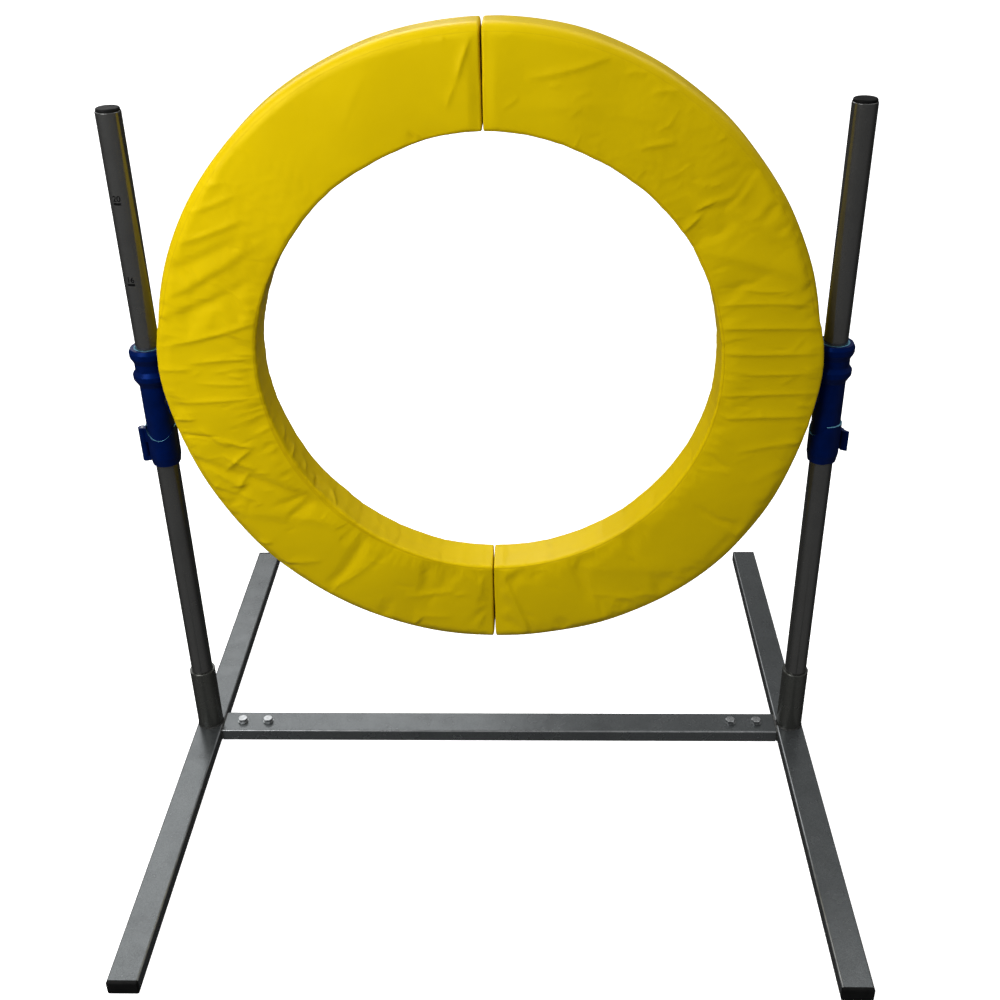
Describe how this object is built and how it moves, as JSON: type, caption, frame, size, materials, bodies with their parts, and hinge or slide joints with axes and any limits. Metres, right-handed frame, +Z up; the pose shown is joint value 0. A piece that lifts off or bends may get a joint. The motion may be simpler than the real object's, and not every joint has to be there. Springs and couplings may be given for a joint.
{
  "type": "agility hurdle",
  "caption": "Dog agility hoop hurdle: a padded ring in breakaway halves, each swinging on a sleeve and clamp that slide on a post of a tube base.",
  "frame": {"origin": "on the ground, midway between the posts, centre of the footprint", "axes": "+Z up; X across the hurdle with the left foot at -X; the dog runs along +Y; the front is -Y"},
  "size_m": [0.9735, 1, 1.065],
  "materials": {
    "base_steel": "satin",
    "post_steel": "satin",
    "weld": "satin",
    "zinc": "satin",
    "black_plastic": "satin",
    "blue_plastic": "gloss",
    "yellow_cover": "satin",
    "foam": "matte",
    "plate_aluminium": "satin",
    "board": "matte",
    "magnet": "polished"
  },
  "bodies": {
    "base": {"crossbar": "base_steel", "crossbar_bolts": "zinc", "bolt_washers": "zinc", "spigot_weld_nuts": "zinc", "left_foot": "base_steel", "left_front_foot_cap": "black_plastic", "left_rear_foot_cap": "black_plastic", "left_spigot": "base_steel", "left_spigot_weld": "weld", "left_socket": "base_steel", "left_socket_weld": "weld", "left_post": "post_steel", "left_post_cap": "black_plastic", "right_foot": "base_steel", "right_front_foot_cap": "black_plastic", "right_rear_foot_cap": "black_plastic", "right_spigot": "base_steel", "right_spigot_weld": "weld", "right_socket": "base_steel", "right_socket_weld": "weld", "right_post": "post_steel", "right_post_cap": "black_plastic"},
    "left_clamp": {"left_clamp_collar": "blue_plastic", "left_lever_pin": "zinc"},
    "left_lever": {"left_clamp_lever": "blue_plastic"},
    "left_half": {"left_swivel_sleeve": "blue_plastic", "left_saddle_screws": "zinc", "left_backing_plate": "plate_aluminium", "left_end_boards": "board", "left_magnets": "magnet", "left_foam_core": "foam", "left_hoop_cover": "yellow_cover"},
    "right_clamp": {"right_clamp_collar": "blue_plastic", "right_lever_pin": "zinc"},
    "right_lever": {"right_clamp_lever": "blue_plastic"},
    "right_half": {"right_swivel_sleeve": "blue_plastic", "right_saddle_screws": "zinc", "right_backing_plate": "plate_aluminium", "right_end_boards": "board", "right_magnets": "magnet", "right_foam_core": "foam", "right_hoop_cover": "yellow_cover"}
  },
  "joints": [
    {"name": "left_clamp_slide", "type": "slide", "parent": "base", "child": "left_clamp", "axis": [0, 0, 1], "range_m": [-0.17, 0.3]},
    {"name": "right_clamp_slide", "type": "slide", "parent": "base", "child": "right_clamp", "axis": [0, 0, 1], "range_m": [-0.17, 0.3]},
    {"name": "left_half_swing", "type": "hinge", "parent": "left_clamp", "child": "left_half", "pos_m": [-0.454, 0, 0.635], "axis": [0, 0, 1], "range_deg": [-120, 120]},
    {"name": "right_half_swing", "type": "hinge", "parent": "right_clamp", "child": "right_half", "pos_m": [0.454, 0, 0.635], "axis": [0, 0, 1], "range_deg": [-120, 120]},
    {"name": "left_lever_hinge", "type": "hinge", "parent": "left_clamp", "child": "left_lever", "pos_m": [-0.4812, 0, 0.515], "axis": [0, 0, 1], "range_deg": [0, 120]},
    {"name": "right_lever_hinge", "type": "hinge", "parent": "right_clamp", "child": "right_lever", "pos_m": [0.44696, 0.02627, 0.515], "axis": [0, 0, 1], "range_deg": [0, 120]}
  ],
  "couplings": [
    {"joint": "right_clamp_slide", "follows": "left_clamp_slide", "ratio": 1}
  ]
}
